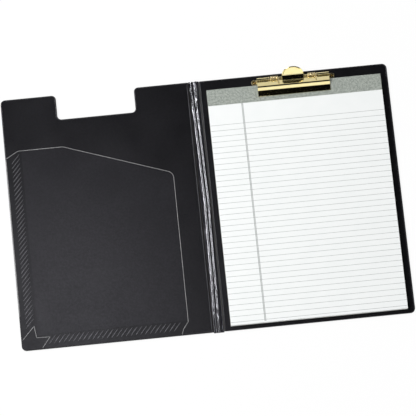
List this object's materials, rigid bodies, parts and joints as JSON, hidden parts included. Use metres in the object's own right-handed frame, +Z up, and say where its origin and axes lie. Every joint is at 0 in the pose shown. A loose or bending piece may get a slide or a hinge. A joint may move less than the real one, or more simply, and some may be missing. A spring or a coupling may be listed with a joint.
{
  "type": "padfolio",
  "caption": "Open vinyl pad holder: notched front cover with a slanted pocket, creased spine, and a back cover with a sprung metal clip holding a ruled writing pad.",
  "frame": {"origin": "middle of the spine on the face that the open folder lies on", "axes": "+X from the spine to the back cover with the clip, +Y up the page towards the clip, +Z up from the table"},
  "size_m": [0.48, 0.3228, 0.0237],
  "materials": {
    "cover_vinyl": "black vinyl, fine leather grain, soft sheen",
    "liner_vinyl": "black vinyl, smooth, soft sheen",
    "pocket_vinyl": "black vinyl with embossed weld bands",
    "spine_vinyl": "black vinyl, glossy along the gathered ridges",
    "chipboard": "raw grey chipboard",
    "clip_brass": "polished brass plate",
    "rivet_brass": "polished brass",
    "spring_brass": "brass-plated spring wire",
    "washer_steel": "plain steel",
    "pad_chipboard": "grey chipboard",
    "pad_paper": "uncoated white paper",
    "ruled_paper": "uncoated white paper with grey rules and a margin line",
    "binding_cloth": "grey-green bookbinding cloth"
  },
  "bodies": {
    "back_cover": {"back_skin": "cover_vinyl", "back_board": "chipboard", "back_liner": "liner_vinyl", "clip_base": "clip_brass", "clip_rivets": "rivet_brass", "rivet_washers": "washer_steel", "clip_pin": "clip_brass", "spring_left": "spring_brass", "spring_right": "spring_brass"},
    "spine": {"spine_skin": "cover_vinyl", "spine_liner": "spine_vinyl"},
    "front_cover": {"front_skin": "cover_vinyl", "front_board": "chipboard", "front_liner": "liner_vinyl", "pocket_sheet": "pocket_vinyl"},
    "jaw": {"clip_jaw": "clip_brass"},
    "writing_pad": {"pad_backing": "pad_chipboard", "pad_sheets": "pad_paper", "pad_top_sheet": "ruled_paper", "pad_tape": "binding_cloth"}
  },
  "joints": [
    {"name": "back_crease", "type": "hinge", "parent": "back_cover", "child": "spine", "pos_m": [0.0065, 0, 0.00045], "axis": [0, 1, 0], "range_deg": [-90, 90]},
    {"name": "front_crease", "type": "hinge", "parent": "spine", "child": "front_cover", "pos_m": [-0.0065, 0, 0.00045], "axis": [0, 1, 0], "range_deg": [-90, 90]},
    {"name": "jaw_hinge", "type": "hinge", "parent": "back_cover", "child": "jaw", "pos_m": [0.12285, 0.15175, 0.0089], "axis": [-1, 0, 0], "range_deg": [0, 30], "stiffness_Nm_per_rad": 0.12, "springref_deg": -68.75, "deforming": ["spring_left", "spring_right"]},
    {"name": "pad_slide", "type": "slide", "parent": "back_cover", "child": "writing_pad", "axis": [0, -1, 0], "range_m": [0, 0.3]}
  ]
}
